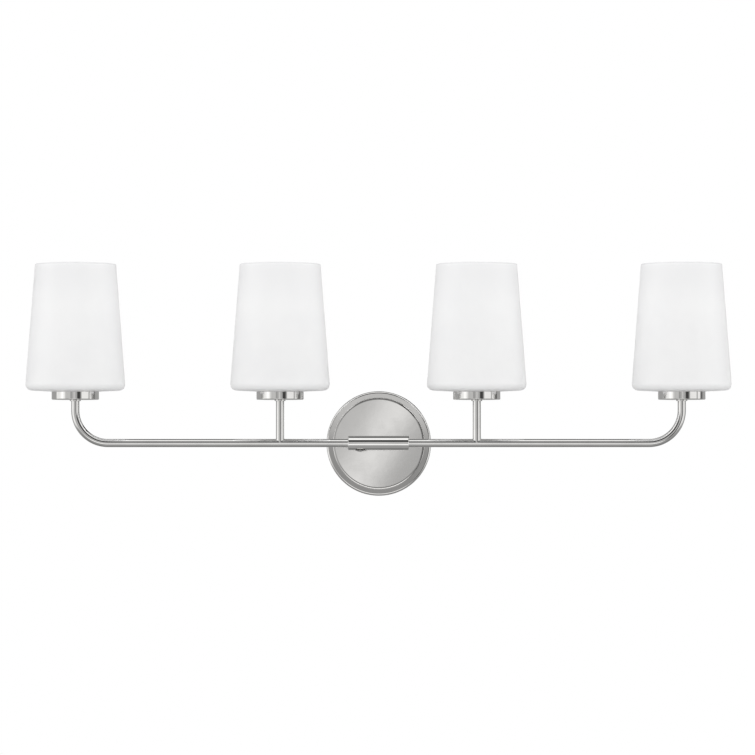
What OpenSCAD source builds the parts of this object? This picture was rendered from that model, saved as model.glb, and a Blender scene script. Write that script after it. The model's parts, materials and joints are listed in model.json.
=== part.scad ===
// Vanity light bar: four open glass shades on a bent tube bar, held off a round wall plate.
// Origin: centre of the wall plate, on the wall. +X runs along the bar, +Z is up, -Y is into the room.

/* [Overall] */
// Distance from the middle of the bar to each outer lamp
outer_lamp_x = 370; // [300:5:450]
// Distance from the middle of the bar to each inner lamp
inner_lamp_x = 120; // [90:5:200]
// Distance from the wall to the axis of the bar
bar_reach = 110; // [85:1:150]
// Height of the cups' undersides above the axis of the bar
cup_rise = 53; // [43:1:90]

/* [Tube] */
// Outside diameter of the bar and stems
tube_d = 10; // [9:0.5:14]
// Wall of the bar and stems
tube_wall = 1; // [0.8:0.1:1.5]
// Centreline radius of the bar's end bends
bend_r = 40; // [15:1:50]
// Ledge round the wire hole from the bar into an inner stem
stem_hole_ledge = 0.5; // [0.2:0.1:1]
// Free space between the bars' inner ends
bar_gap = 16; // [15:0.5:24]

/* [Sleeve] */
// Outside diameter of the sleeve that joins the two bars
sleeve_d = 17.4; // [15.5:0.1:24]
// Length of the sleeve
sleeve_length = 74.5; // [60:0.5:100]
// Chamfer at the sleeve's ends
sleeve_chamfer = 0.9; // [0.3:0.1:1.5]
// Hole in the sleeve's back, for the wires
sleeve_wire_hole_d = 9; // [8.6:0.1:9.6]
// Distance of the set screw from the middle of the sleeve
set_screw_x = 22; // [16:0.5:28]
// Diameter of the set screw's head
set_screw_head_d = 13; // [8:0.5:15]
// Height of the set screw's domed head
set_screw_head_h = 2.2; // [1.5:0.1:4]
// Diameter of the set screw's shank
set_screw_d = 4; // [3:0.5:5]

/* [Arm] */
// Outside diameter of the arm between plate and sleeve
arm_d = 12.7; // [12.5:0.1:15]
// Wall of the arm
arm_wall = 1.2; // [0.8:0.1:1.3]
// Wall of the hollow threaded nipple in the arm's end
nipple_wall = 1.3; // [1:0.1:1.4]
// Length of nipple inside the arm
nipple_in_arm = 15; // [8:1:30]
// Length of nipple that stands out past its nut
nipple_past_nut = 3; // [1:0.5:4]
// Across-flats size of the arm's nut
arm_nut_width = 17; // [15:0.5:20]
// Thickness of the arm's nut
arm_nut_h = 4; // [3:0.5:5]
// Thickness of the lock washer
washer_h = 1; // [0.8:0.1:1.5]
// Outside diameter of the lock washer
washer_d = 19; // [17:0.5:24]

/* [Wall plate] */
// Outside diameter of the wall plate
plate_d = 130.8; // [108:0.1:160]
// Depth of the wall plate
plate_depth = 22; // [20:0.5:30]
// Width of the ledge between the raised face and the rim
ledge_width = 9.4; // [7:0.1:14]
// Height of the ledge off the wall, where it meets the raised face
ledge_depth = 6.6; // [5:0.1:8]
// Fall of the ledge from the raised face to the rim
ledge_fall = 0.9; // [0:0.1:1.5]
// Radius of the rim's rounded lip
lip_r = 2.1; // [1.6:0.1:3]
// Radius at the edge of the raised face
face_edge_r = 3; // [1.6:0.1:4]
// Sheet thickness of the wall plate
plate_wall = 1.2; // [0.8:0.1:1.5]

/* [Crossbar] */
// Height of the crossbar's strap
strap_width = 24; // [18:1:30]
// Thickness of the crossbar's strap
strap_wall = 2; // [1.5:0.1:2.5]
// Length of the crossbar's bent ears, from the wall
ear_length = 18; // [16.5:0.5:18.5]
// Outside radius of the ears' bends
ear_bend_r = 3.5; // [2.6:0.1:5]
// Spacing of the outlet box screws
box_screw_spacing = 69.85; // [60:0.05:75]
// Width of the outlet box screws' slots
box_slot_width = 4.6; // [4:0.1:5.5]
// End-to-end length of the outlet box screws' slots
box_slot_length = 14; // [8:0.5:18]
// Height off the wall of the screws that hold the plate
plate_screw_y = 13; // [12.5:0.1:14]
// Diameter of the plate screws' shanks
plate_screw_d = 3.5; // [3:0.1:4]
// Diameter of the plate screws' heads
plate_screw_head_d = 6.4; // [5:0.1:7]
// Diameter of the plate screws' heads at their outer faces
plate_screw_face_d = 5.4; // [4:0.1:7]
// Height of the plate screws' heads
plate_screw_head_h = 2.2; // [1.5:0.1:3]
// Length of the plate screws' shanks
plate_screw_length = 9; // [7:0.5:12]
// Distance of the ground screw from the middle of the crossbar
ground_screw_x = 14; // [12:0.5:18]
// Diameter of the ground screw's shank
ground_screw_d = 4; // [3.5:0.1:4.5]
// Across-flats size of the ground screw's head
ground_head_width = 7; // [6:0.5:8]
// Height of the ground screw's head
ground_head_h = 2.6; // [2:0.1:3.5]

/* [Cup] */
// Outside diameter of the cups under the shades
cup_d = 57.5; // [52:0.5:80]
// Height of the cups
cup_height = 10; // [8:0.5:14]
// Wall of the cups
cup_wall = 1.2; // [0.8:0.1:2]
// Floor of the cups
cup_floor = 1.5; // [1:0.1:2]
// Radius at the cups' lower edge
cup_edge_r = 0.8; // [0.4:0.1:1.4]
// Radial width of the round collar nuts under the cups
collar_wall = 1.75; // [1:0.05:4]
// Height of the collar nuts
collar_h = 1.8; // [1:0.1:3]
// Radial width of the lock nuts inside the cups, to their flats
lock_nut_wall = 2.5; // [2:0.1:4]
// Height of the lock nuts
lock_nut_h = 3; // [2:0.1:4]

/* [Shade] */
// Outside diameter of the shades where the walls would meet the seat
shade_base_d = 122.8; // [100:0.1:160]
// Outside diameter of the shades' open tops
shade_top_d = 98.8; // [80:0.1:140]
// Height of the shades
shade_height = 155.5; // [110:0.5:220]
// Thickness of the glass
shade_wall = 3.5; // [2.5:0.1:4.5]
// Radius at the shades' lower corners
shade_corner_r = 7.5; // [5:0.1:12]
// Rise of the underside from the seat to the corner
shade_belly = 1.2; // [0:0.1:3]
// Width of the flat seat outside the cup
seat_margin = 1.5; // [0.5:0.1:4]

/* [Lampholder] */
// Outside diameter of the lampholders, over their threads
socket_d = 38; // [34:0.5:46]
// Step from the threads in to the lampholders' plain ends
socket_step = 1.5; // [0.5:0.1:2]
// Thickness of the lampholders' bases, where the tube screws in
socket_base = 5; // [3:0.5:7]
// Height of the wire space above the base
wire_space_h = 6; // [4:0.5:10]
// Radius of the wire space
wire_space_r = 11; // [7:0.5:13]
// Thickness of the deck under the screw shell
deck_h = 4; // [2:0.5:6]
// Height from the base to the start of the threads
thread_start = 8; // [6:0.5:10]
// Length of the outside threads
thread_length = 18; // [12:0.5:20]
// Inside diameter of the screw shells
shell_bore_d = 26.4; // [26:0.1:27]
// Wall of the screw shells
shell_wall = 0.6; // [0.4:0.1:0.8]
// Length of the screw shells
shell_length = 24; // [20:0.5:28]
// Height of the lampholder's rim above the screw shell
socket_lip = 3.5; // [1:0.5:6]
// Space between the centre contact's tip and the straight wall of the screw shell
shell_toe_space = 1; // [0.5:0.5:2]
// Radius of the centre contact
contact_r = 4.5; // [3:0.5:6]
// Radius of the centre contact's tip
contact_tip_r = 2.2; // [1:0.1:3]
// Radial space between the centre contact and the floor of the screw shell
contact_space = 2.5; // [1:0.5:3]
// Height of the centre contact
contact_h = 2; // [1:0.5:4]

/* [Retaining ring] */
// Height of the rings that hold the shades down
ring_h = 6; // [4:0.5:9]
// Reach of the rings past the hole in the glass
ring_overlap = 5.5; // [3:0.5:6]
// Number of finger notches round a ring
ring_notches = 12; // [6:1:24]
// Diameter of a finger notch
notch_d = 5; // [2:0.5:6]
// How deep a finger notch cuts into a ring
notch_depth = 1.2; // [0.5:0.1:2]
// Height of the plain flange under the finger notches
ring_flange_h = 2; // [1:0.5:3]
// Thickness of the gaskets on the glass
gasket_h = 1; // [0.5:0.1:2]

/* [Wires] */
// Diameter of the wires
wire_d = 1.5; // [1:0.1:1.6]
// Smallest bend radius of the wires
wire_bend_r = 3; // [2:0.1:3.4]
// Height of a wire connector
connector_h = 20; // [14:1:24]
// Diameter of a wire connector's mouth
connector_mouth_d = 11; // [9.5:0.1:11.6]
// Length of ground wire between its lugs' tabs and its loop
ground_straight = 1; // [1:0.5:4]
// Diameter of the ground wire
ground_wire_d = 1.6; // [1:0.1:2]
// Bend radius of the ground wire
ground_turn_r = 4; // [2:0.5:6]
// Thickness of the ground wire's lugs
ground_lug_h = 0.8; // [0.5:0.1:1]
// Radius of the lug under the ground screw
ground_lug_r = 4; // [3.4:0.1:5]
// Width of the lugs' tabs
ground_lug_width = 3; // [2:0.5:4]
// Reach of the tab on the ground screw's lug
ground_tab = 7; // [5.5:0.5:8]
// Diameter of a wire connector's closed end
connector_tip_d = 7; // [5:0.1:9]
// Space between the crossbar and a wire connector
connector_space = 6; // [4:0.5:12]

/* [Fits] */
// Radial clearance of pieces that are pushed or screwed together
slip_gap = 0.05; // [0.02:0.01:0.1]
// Radial clearance of the retaining rings round the lampholders
ring_gap = 0.35; // [0.3:0.05:0.6]
// Radial clearance of the glass round the lampholders
shade_hole_gap = 2.25; // [1.5:0.05:3]
// Space between the crossbar's ears and the wall plate
ear_gap = 0.5; // [0.3:0.1:1]

/* [Hidden] */
$fn = 64;
arc_steps = 10;
// How far a cutting shape runs past the faces that it cuts
over = 1;
lamp_x = [-outer_lamp_x, -inner_lamp_x, inner_lamp_x, outer_lamp_x];
lamps = [1, 2, 3, 4];
sides = [-1, 1];

tube_r = tube_d / 2;
tube_bore_r = tube_r - tube_wall;
stem_hole_d = 2 * (tube_bore_r - stem_hole_ledge);
sleeve_r = sleeve_d / 2;
sleeve_bore_r = tube_r + slip_gap;

arm_bore_d = arm_d - 2 * arm_wall;
nipple_d = arm_bore_d - 2 * slip_gap;
nipple_bore_d = nipple_d - 2 * nipple_wall;

plate_r = plate_d / 2;
face_r = plate_r - ledge_width;
plate_floor_y = plate_depth - plate_wall;
arm_nut_y = plate_floor_y - washer_h;
nipple_end_y = arm_nut_y - ground_lug_h - arm_nut_h - nipple_past_nut;
nipple_length = plate_depth + nipple_in_arm - nipple_end_y;

ear_x = sqrt(pow(face_r - plate_wall, 2) - pow(strap_width / 2, 2)) - ear_gap;

floor_z = cup_rise + cup_floor;
seat_z = cup_rise + cup_height;
socket_z = floor_z + lock_nut_h;
deck_z = socket_z + socket_base + wire_space_h;
shell_z = deck_z + deck_h;
socket_top_z = shell_z + shell_length + socket_lip;
stem_top_z = socket_z + socket_base;

socket_r = socket_d / 2;
plain_r = socket_r - socket_step;
shell_r = shell_bore_d / 2 + shell_wall;
shell_toe = contact_h + shell_toe_space;
shade_hole_r = socket_r + shade_hole_gap;
ring_r = shade_hole_r + ring_overlap;
ring_bore_r = socket_r + ring_gap;
gasket_z = seat_z + shade_wall;
ring_z = gasket_z + gasket_h;

// Lanes of the eight wires: hot ones outside and neutral ones inside, in two rows
hot_lane = 2.7;
neutral_lane = 1;
row_z = 1;
lane_middle = (hot_lane + neutral_lane) / 2;
turn_x = bar_gap / 2;
turn_y = bar_reach - (turn_x - lane_middle);
connector_z = strap_width / 2 + connector_space;
connector_y = nipple_end_y - wire_bend_r - row_z;

ground_loop_x = ground_screw_x + ground_tab + ground_straight;

FIXED_NODES = [
    "back_plate", "crossbar", "plate_screws", "ground_screw", "ground_lead",
    "arm", "arm_nipple", "lock_washer", "arm_nut", "center_sleeve", "sleeve_set_screw",
    "bar_left", "bar_right", "stem_left", "stem_right", "collar_nuts", "lock_nuts",
    "hot_wires", "neutral_wires", "wire_connectors"
];
LAMP_NODES = ["cup", "socket", "screw_shell", "center_contact", "shade", "gasket", "retaining_ring"];

// ---- shapes that repeat ----

function arc_points(x, y, r, from, to) =
    [for (i = [0:arc_steps]) let (a = from + (to - from) * i / arc_steps) [x + r * cos(a), y + r * sin(a)]];

// Turns a shape that stands on +Z so that it points out of the wall, along -Y
module out_of_wall() {
    rotate([90, 0, 0]) children();
}

// Turns a shape that stands on +Z so that it lies along +X
module along_x() {
    rotate([0, 90, 0]) children();
}

module pipe(r_out, r_in, h) {
    linear_extrude(h) difference() {
        circle(r_out);
        circle(r_in);
    }
}

module hex_nut(width, bore_r, h) {
    difference() {
        cylinder(h = h, d = width / cos(30), $fn = 6);
        translate([0, 0, -over]) cylinder(h = h + 2 * over, r = bore_r);
    }
}

// A shape on the right and its mirror image on the left
module both_sides() {
    for (m = [0, 1])
        mirror([m, 0, 0]) children();
}

// Quarter of a round rod, in the XY plane, from angle a on
module quarter_rod(r, d, a) {
    rotate([0, 0, a]) rotate_extrude(angle = 90) translate([r, 0]) circle(d = d, $fn = 24);
}

module rod(d, h) {
    cylinder(h = h, d = d, $fn = 24);
}

module at_lamp(n) {
    translate([lamp_x[n - 1], -bar_reach, 0]) children();
}

// ---- wall plate and what is behind it ----

module plate_outline() {
    rim_top = ledge_depth - ledge_fall;
    polygon(concat(
        [[plate_r - plate_wall, 0], [plate_r, 0]],
        arc_points(plate_r - lip_r, rim_top - lip_r, lip_r, 0, 90),
        [[face_r, ledge_depth]],
        arc_points(face_r - face_edge_r, plate_depth - face_edge_r, face_edge_r, 0, 90),
        [[0, plate_depth], [0, plate_floor_y]],
        arc_points(face_r - face_edge_r, plate_depth - face_edge_r, face_edge_r - plate_wall, 90, 0),
        [[face_r - plate_wall, ledge_depth - plate_wall]],
        arc_points(plate_r - lip_r, rim_top - lip_r, lip_r - plate_wall, 90, 0)
    ));
}

module back_plate() {
    color("silver") difference() {
        out_of_wall() rotate_extrude($fn = 128) plate_outline();
        out_of_wall() translate([0, 0, plate_floor_y - over])
            cylinder(h = plate_wall + 2 * over, d = nipple_d + 2 * slip_gap);
        both_sides() translate([face_r - plate_wall - over, -plate_screw_y, 0]) along_x()
            cylinder(h = plate_wall + 2 * over, d = plate_screw_d + 2 * slip_gap);
    }
}

// Bent strip seen from above: flat on the wall, with an ear bent up at each end
module strap_outline() {
    bend_x = ear_x - ear_bend_r;
    right = concat(
        arc_points(bend_x, ear_bend_r, ear_bend_r, -90, 0),
        [[ear_x, ear_length], [ear_x - strap_wall, ear_length]],
        arc_points(bend_x, ear_bend_r, ear_bend_r - strap_wall, 0, -90)
    );
    left = [for (i = [len(right) - 1:-1:0]) [-right[i][0], right[i][1]]];
    polygon(concat(right, left));
}

module crossbar() {
    color("lightgray") difference() {
        translate([0, 0, -strap_width / 2]) mirror([0, 1, 0])
            linear_extrude(strap_width) strap_outline();
        for (s = sides)
            translate([s * box_screw_spacing / 2, over, 0]) out_of_wall()
                linear_extrude(strap_wall + 2 * over) box_slot();
        both_sides() translate([ear_x - strap_wall - over, -plate_screw_y, 0]) along_x()
            cylinder(h = strap_wall + 2 * over, d = plate_screw_d + 2 * slip_gap);
        translate([ground_screw_x, over, 0]) out_of_wall()
            cylinder(h = strap_wall + 2 * over, d = ground_screw_d + 2 * slip_gap);
    }
}

module box_slot() {
    end_x = (box_slot_length - box_slot_width) / 2;
    square([2 * end_x, box_slot_width], center = true);
    for (s = sides)
        translate([s * end_x, 0]) circle(d = box_slot_width);
}

module plate_screws() {
    color("silver") both_sides() translate([face_r, -plate_screw_y, 0]) along_x() {
        translate([0, 0, -plate_screw_length]) cylinder(h = plate_screw_length, d = plate_screw_d);
        cylinder(h = plate_screw_head_h, d1 = plate_screw_head_d, d2 = plate_screw_face_d);
    }
}

module ground_screw() {
    color("green") translate([ground_screw_x, 0, 0]) out_of_wall() {
        cylinder(h = strap_wall + ground_lug_h, d = ground_screw_d);
        translate([0, 0, strap_wall + ground_lug_h])
            cylinder(h = ground_head_h, d = ground_head_width / cos(30), $fn = 6);
    }
}

// Lug: a ring round a screw or nipple with a tab along +X
module ground_lug(bore_r, ring_r, reach) {
    difference() {
        union() {
            cylinder(h = ground_lug_h, r = ring_r);
            translate([0, -ground_lug_width / 2, 0]) cube([reach, ground_lug_width, ground_lug_h]);
        }
        translate([0, 0, -over]) cylinder(h = ground_lug_h + 2 * over, r = bore_r);
    }
}

module ground_lead() {
    front_y = plate_floor_y - washer_h - ground_lug_h / 2;
    rear_y = strap_wall + ground_wire_d / 2;
    color("green") out_of_wall() {
        translate([0, 0, front_y - ground_lug_h / 2])
            ground_lug(nipple_d / 2 + slip_gap, arm_nut_width / 2, ground_screw_x);
        translate([ground_screw_x, 0, strap_wall])
            ground_lug(ground_screw_d / 2 + slip_gap, ground_lug_r, ground_tab);
        translate([ground_screw_x, 0, front_y]) along_x() rod(ground_wire_d, ground_loop_x - ground_screw_x);
        translate([ground_screw_x + ground_tab, 0, rear_y]) along_x()
            rod(ground_wire_d, ground_loop_x - ground_screw_x - ground_tab);
        translate([ground_loop_x, 0, rear_y + ground_turn_r]) rotate([90, 0, 0])
            quarter_rod(ground_turn_r, ground_wire_d, 270);
        translate([ground_loop_x, 0, front_y - ground_turn_r]) rotate([90, 0, 0])
            quarter_rod(ground_turn_r, ground_wire_d, 0);
        translate([ground_loop_x + ground_turn_r, 0, rear_y + ground_turn_r])
            rod(ground_wire_d, front_y - rear_y - 2 * ground_turn_r);
    }
}

// ---- arm ----

module arm() {
    color("silver") difference() {
        translate([0, -plate_depth, 0]) out_of_wall()
            pipe(arm_d / 2, arm_bore_d / 2, bar_reach - plate_depth);
        translate([-arm_d, -bar_reach, 0]) along_x() cylinder(h = 2 * arm_d, r = sleeve_r + slip_gap);
    }
}

module arm_nipple() {
    color("goldenrod") translate([0, -nipple_end_y, 0]) out_of_wall()
        pipe(nipple_d / 2, nipple_bore_d / 2, nipple_length);
}

module lock_washer() {
    color("lightgray") translate([0, -arm_nut_y, 0]) out_of_wall()
        pipe(washer_d / 2, nipple_d / 2 + slip_gap, washer_h);
}

module arm_nut() {
    color("goldenrod") translate([0, -nipple_end_y - nipple_past_nut, 0]) out_of_wall()
        hex_nut(arm_nut_width, nipple_d / 2 + slip_gap, arm_nut_h);
}

// ---- sleeve, bars and stems ----

module center_sleeve() {
    half = sleeve_length / 2;
    color("silver") difference() {
        translate([0, -bar_reach, 0]) along_x() rotate_extrude($fn = 96)
            polygon([
                [sleeve_bore_r, -half], [sleeve_r - sleeve_chamfer, -half],
                [sleeve_r, -half + sleeve_chamfer], [sleeve_r, half - sleeve_chamfer],
                [sleeve_r - sleeve_chamfer, half], [sleeve_bore_r, half]
            ]);
        translate([0, -bar_reach + sleeve_r + over, 0]) out_of_wall()
            cylinder(h = sleeve_r, d = sleeve_wire_hole_d);
        translate([-set_screw_x, -bar_reach, -sleeve_r - over])
            cylinder(h = sleeve_r, d = set_screw_d + 2 * slip_gap);
    }
}

module sleeve_set_screw() {
    dome_r = (pow(set_screw_head_d / 2, 2) + pow(set_screw_head_h, 2)) / (2 * set_screw_head_h);
    color("silver") translate([-set_screw_x, -bar_reach, -sleeve_r]) {
        intersection() {
            translate([0, 0, dome_r - set_screw_head_h]) sphere(dome_r, $fn = 96);
            translate([0, 0, -set_screw_head_h - slip_gap])
                cylinder(h = set_screw_head_h, d = set_screw_head_d + over);
        }
        translate([0, 0, -set_screw_head_h / 2])
            cylinder(h = set_screw_head_h / 2 + sleeve_r - tube_r - slip_gap, d = set_screw_d);
    }
}

// Right-hand bar: along +X from the sleeve, through the bend and up the outer lamp's stem
module bar_right_shape() {
    straight = outer_lamp_x - bend_r - bar_gap / 2;
    translate([0, -bar_reach, 0]) {
        difference() {
            translate([bar_gap / 2, 0, 0]) along_x() pipe(tube_r, tube_bore_r, straight);
            translate([inner_lamp_x, 0, 0]) cylinder(h = tube_d, d = stem_hole_d);
        }
        translate([outer_lamp_x - bend_r, 0, bend_r]) rotate([90, 0, 0]) rotate([0, 0, 270])
            rotate_extrude(angle = 90) translate([bend_r, 0]) difference() {
                circle(tube_r);
                circle(tube_bore_r);
            }
        translate([outer_lamp_x, 0, bend_r]) pipe(tube_r, tube_bore_r, stem_top_z - bend_r);
    }
}

module bar_right() {
    color("silver") bar_right_shape();
}

module bar_left() {
    color("silver") mirror([1, 0, 0]) bar_right_shape();
}

// Inner lamp's stem, cut at its foot to sit on the bar
module stem_shape(x) {
    difference() {
        translate([x, -bar_reach, 0]) pipe(tube_r, tube_bore_r, stem_top_z);
        translate([x - tube_d, -bar_reach, 0]) along_x() cylinder(h = 2 * tube_d, r = tube_r + slip_gap);
    }
}

module stem_left() {
    color("silver") stem_shape(-inner_lamp_x);
}

module stem_right() {
    color("silver") stem_shape(inner_lamp_x);
}

// ---- lamps ----

module collar_nuts() {
    color("silver")
        for (n = lamps)
            at_lamp(n) translate([0, 0, cup_rise - collar_h])
                pipe(tube_r + collar_wall, tube_r + slip_gap, collar_h);
}

module lock_nuts() {
    color("goldenrod")
        for (n = lamps)
            at_lamp(n) translate([0, 0, floor_z])
                hex_nut(tube_d + 2 * lock_nut_wall, tube_r + slip_gap, lock_nut_h);
}

module cup(n) {
    r = cup_d / 2;
    color("silver") at_lamp(n) rotate_extrude($fn = 96)
        polygon(concat(
            [[tube_r + slip_gap, cup_rise]],
            arc_points(r - cup_edge_r, cup_rise + cup_edge_r, cup_edge_r, -90, 0),
            [[r, seat_z], [r - cup_wall, seat_z], [r - cup_wall, floor_z], [tube_r + slip_gap, floor_z]]
        ));
}

module socket(n) {
    bore_r = shell_r + slip_gap;
    thread_z = socket_z + thread_start;
    color("white") at_lamp(n) rotate_extrude($fn = 96)
        polygon([
            [tube_r + slip_gap, socket_z], [plain_r, socket_z],
            [plain_r, thread_z], [socket_r, thread_z],
            [socket_r, thread_z + thread_length], [plain_r, thread_z + thread_length],
            [plain_r, socket_top_z], [bore_r, socket_top_z],
            [bore_r, shell_z], [0, shell_z],
            [0, deck_z], [wire_space_r, deck_z],
            [wire_space_r, stem_top_z], [tube_r + slip_gap, stem_top_z]
        ]);
}

// Drawn cup with a round lower edge and a hole in its floor for the contact
module screw_shell(n) {
    toe_x = shell_r - shell_toe;
    floor_r = contact_r + contact_space;
    color("gold") at_lamp(n) translate([0, 0, shell_z]) rotate_extrude($fn = 96)
        polygon(concat(
            [[floor_r, 0]],
            arc_points(toe_x, shell_toe, shell_toe, -90, 0),
            [[shell_r, shell_length], [shell_r - shell_wall, shell_length]],
            arc_points(toe_x, shell_toe, shell_toe - shell_wall, 0, -90),
            [[floor_r, shell_wall]]
        ));
}

module center_contact(n) {
    color("gold") at_lamp(n) translate([0, 0, shell_z])
        cylinder(h = contact_h, r1 = contact_r, r2 = contact_tip_r);
}

module shade(n) {
    tilt = atan((shade_base_d - shade_top_d) / 2 / shade_height);
    base_r = shade_base_d / 2;
    corner_z = shade_belly + shade_corner_r;
    corner_x = base_r - (shade_corner_r + corner_z * sin(tilt)) / cos(tilt);
    seat_r = cup_d / 2 + seat_margin;
    top_r = shade_top_d / 2;
    color("white") at_lamp(n) translate([0, 0, seat_z]) rotate_extrude($fn = 128)
        polygon(concat(
            [[shade_hole_r, 0], [seat_r, 0]],
            arc_points(corner_x, corner_z, shade_corner_r, -90, tilt),
            [[top_r, shade_height], [top_r - shade_wall / cos(tilt), shade_height]],
            arc_points(corner_x, corner_z, shade_corner_r - shade_wall, tilt, -90),
            [[seat_r, shade_wall], [shade_hole_r, shade_wall]]
        ));
}

module gasket(n) {
    color("dimgray") at_lamp(n) translate([0, 0, gasket_z]) pipe(ring_r - 1, shade_hole_r, gasket_h);
}

module retaining_ring(n) {
    color("ivory") at_lamp(n) translate([0, 0, ring_z]) difference() {
        pipe(ring_r, ring_bore_r, ring_h);
        for (i = [1:ring_notches])
            rotate([0, 0, i * 360 / ring_notches])
                translate([ring_r + notch_d / 2 - notch_depth, 0, ring_flange_h])
                cylinder(h = ring_h, d = notch_d, $fn = 24);
    }
}

// ---- wires ----

// One wire to the lamp at distance x on the right, in a lane of the arm and a row of the bar.
// It turns up to its connector behind the plate when up is 1, and down when up is -1.
module wire_right(x, lane, row, up) {
    lift_r = wire_bend_r + (row == up ? 0 : 2 * row_z);
    rise_z = up * row_z * row + lift_r;
    turn_r = turn_x - lane;
    bar_y = turn_y + turn_r;
    z = row * row_z;
    lamp_turn_r = x == outer_lamp_x ? bend_r - z : wire_bend_r;
    lamp_turn_x = x == outer_lamp_x ? x - bend_r : x - wire_bend_r;
    mirror([0, 0, up > 0 ? 0 : 1]) translate([lane, -nipple_end_y, rise_z]) {
        rotate([90, 0, 90]) quarter_rod(lift_r, wire_d, 270);
        translate([0, lift_r, 0]) rod(wire_d, connector_z - rise_z);
    }
    translate([lane, -nipple_end_y, z]) out_of_wall() rod(wire_d, turn_y - nipple_end_y);
    translate([turn_x, -turn_y, z]) quarter_rod(turn_r, wire_d, 180);
    translate([turn_x, -bar_y, z]) along_x() rod(wire_d, lamp_turn_x - turn_x);
    translate([lamp_turn_x, -bar_y, z + lamp_turn_r]) rotate([90, 0, 0])
        quarter_rod(lamp_turn_r, wire_d, 270);
    translate([lamp_turn_x + lamp_turn_r, -bar_y, z + lamp_turn_r])
        rod(wire_d, deck_z - z - lamp_turn_r);
}

// All four lamps' wires of one lane: the inner lamps use the upper row, the outer ones the lower row
module wire_set(lane, up) {
    both_sides() {
        wire_right(inner_lamp_x, lane, 1, up);
        wire_right(outer_lamp_x, lane, -1, up);
    }
}

module hot_wires() {
    color("black") wire_set(hot_lane, 1);
}

module neutral_wires() {
    color("white") wire_set(neutral_lane, -1);
}

module wire_connectors() {
    color("orange")
        for (m = [0, 1])
            mirror([0, 0, m]) translate([0, -connector_y, connector_z])
                cylinder(h = connector_h, d1 = connector_mouth_d, d2 = connector_tip_d);
}

// ---- what is drawn ----

back_plate();
crossbar();
plate_screws();
ground_screw();
ground_lead();
arm();
arm_nipple();
lock_washer();
arm_nut();
center_sleeve();
sleeve_set_screw();
bar_left();
bar_right();
stem_left();
stem_right();
collar_nuts();
lock_nuts();
hot_wires();
neutral_wires();
wire_connectors();
for (n = lamps) {
    cup(n);
    socket(n);
    screw_shell(n);
    center_contact(n);
    shade(n);
    gasket(n);
    retaining_ring(n);
}
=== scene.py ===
import json
import math

import bmesh
import bpy
from mathutils import Matrix, Vector


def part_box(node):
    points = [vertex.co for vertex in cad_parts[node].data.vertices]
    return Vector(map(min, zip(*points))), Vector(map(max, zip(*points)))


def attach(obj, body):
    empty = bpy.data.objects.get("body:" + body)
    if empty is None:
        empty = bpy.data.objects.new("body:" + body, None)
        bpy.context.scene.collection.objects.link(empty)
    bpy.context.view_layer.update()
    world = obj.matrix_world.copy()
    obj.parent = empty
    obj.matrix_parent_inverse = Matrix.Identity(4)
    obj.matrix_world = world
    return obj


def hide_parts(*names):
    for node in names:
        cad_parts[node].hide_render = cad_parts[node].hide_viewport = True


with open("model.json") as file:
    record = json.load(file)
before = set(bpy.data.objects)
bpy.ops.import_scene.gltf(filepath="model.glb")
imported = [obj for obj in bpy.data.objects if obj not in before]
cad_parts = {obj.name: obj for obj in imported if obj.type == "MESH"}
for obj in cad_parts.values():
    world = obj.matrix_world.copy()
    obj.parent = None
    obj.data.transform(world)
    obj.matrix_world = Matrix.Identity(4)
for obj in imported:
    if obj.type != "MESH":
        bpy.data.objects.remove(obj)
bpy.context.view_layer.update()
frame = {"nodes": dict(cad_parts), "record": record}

MM = 0.001
LAMPS = (1, 2, 3, 4)
SHARP = math.radians(28)


# ---- places and sizes ----


def size(node):
    """Width, depth and height of a CAD node, in metres."""
    lo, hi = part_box(node)
    return hi - lo


def middle(node):
    lo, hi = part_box(node)
    return (lo + hi) / 2


def low(node):
    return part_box(node)[0]


def high(node):
    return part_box(node)[1]


# read from the frame
BAR_Y = middle("center_sleeve").y
TUBE_R = size("stem_left").x / 2
SLEEVE_R = size("center_sleeve").z / 2
LAMP_X = {n: middle(f"cup_{n}").x for n in LAMPS}
CUP_Z = low("cup_1").z
SEAT_Z = high("cup_1").z
STEM_TOP = high("stem_left").z
OUTER_X = LAMP_X[4]
INNER_X = LAMP_X[3]
CUP_R = size("cup_1").x / 2
PLATE_R = size("back_plate").z / 2
PLATE_FRONT = low("back_plate").y

# as part.scad has them, where a node's box doesn't show them
TUBE_BORE = TUBE_R - 1.0 * MM
BEND_R = 40.0 * MM
FIT_R = TUBE_R + 0.05 * MM  # bores that go round a tube
SHEET = 1.2 * MM  # sheet metal of the plate and the cups, and the arm's wall
GLASS = 3.5 * MM  # wall of a shade
FITTER_R = 21.25 * MM  # hole in a shade's floor and in its gasket
RING_BORE = 19.35 * MM

# only in the visual model
PLATE_DRAFT = 2.0 * MM  # lean of the plate's wall
PLATE_LEDGE_R = PLATE_R - 8.4 * MM
E26_PITCH = 3.629 * MM  # thread of a medium screw base


# ---- node graphs ----


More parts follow.
